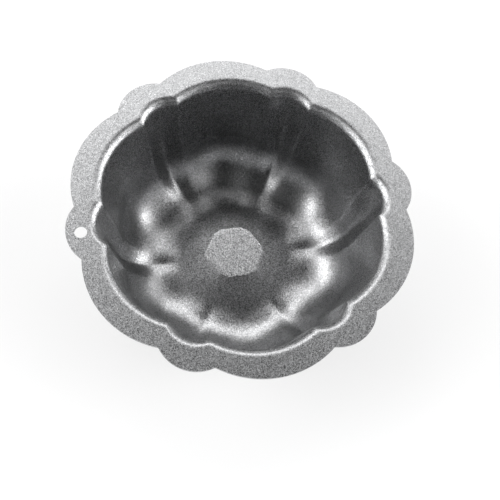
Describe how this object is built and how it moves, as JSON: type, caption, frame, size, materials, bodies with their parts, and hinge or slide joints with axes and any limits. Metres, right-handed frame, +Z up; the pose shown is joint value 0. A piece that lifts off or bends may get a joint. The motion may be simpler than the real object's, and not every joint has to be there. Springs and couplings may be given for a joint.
{
  "type": "mini fluted tube pan",
  "caption": "Small round baking mould in coated sheet steel, with narrow and wide flutes, a low closed centre boss and a scalloped flat flange with a hanging hole.",
  "frame": {"origin": "on the pan's axis, in the plane that the flutes stand on", "axes": "+Z up along the axis to the open rim; the hanging hole's lobe points along -X"},
  "size_m": [0.116, 0.116, 0.0426],
  "materials": {
    "bare_steel": "bare sheared edge of cold rolled sheet",
    "nonstick_coat": "satin metallic grey nonstick coat with a fine grain",
    "outside_coat": "satin metallic grey coat with a fine grain"
  },
  "bodies": {
    "root": {"steel_pressing": "bare_steel", "inner_nonstick_coat": "nonstick_coat", "outer_coat": "outside_coat"}
  },
  "joints": []
}
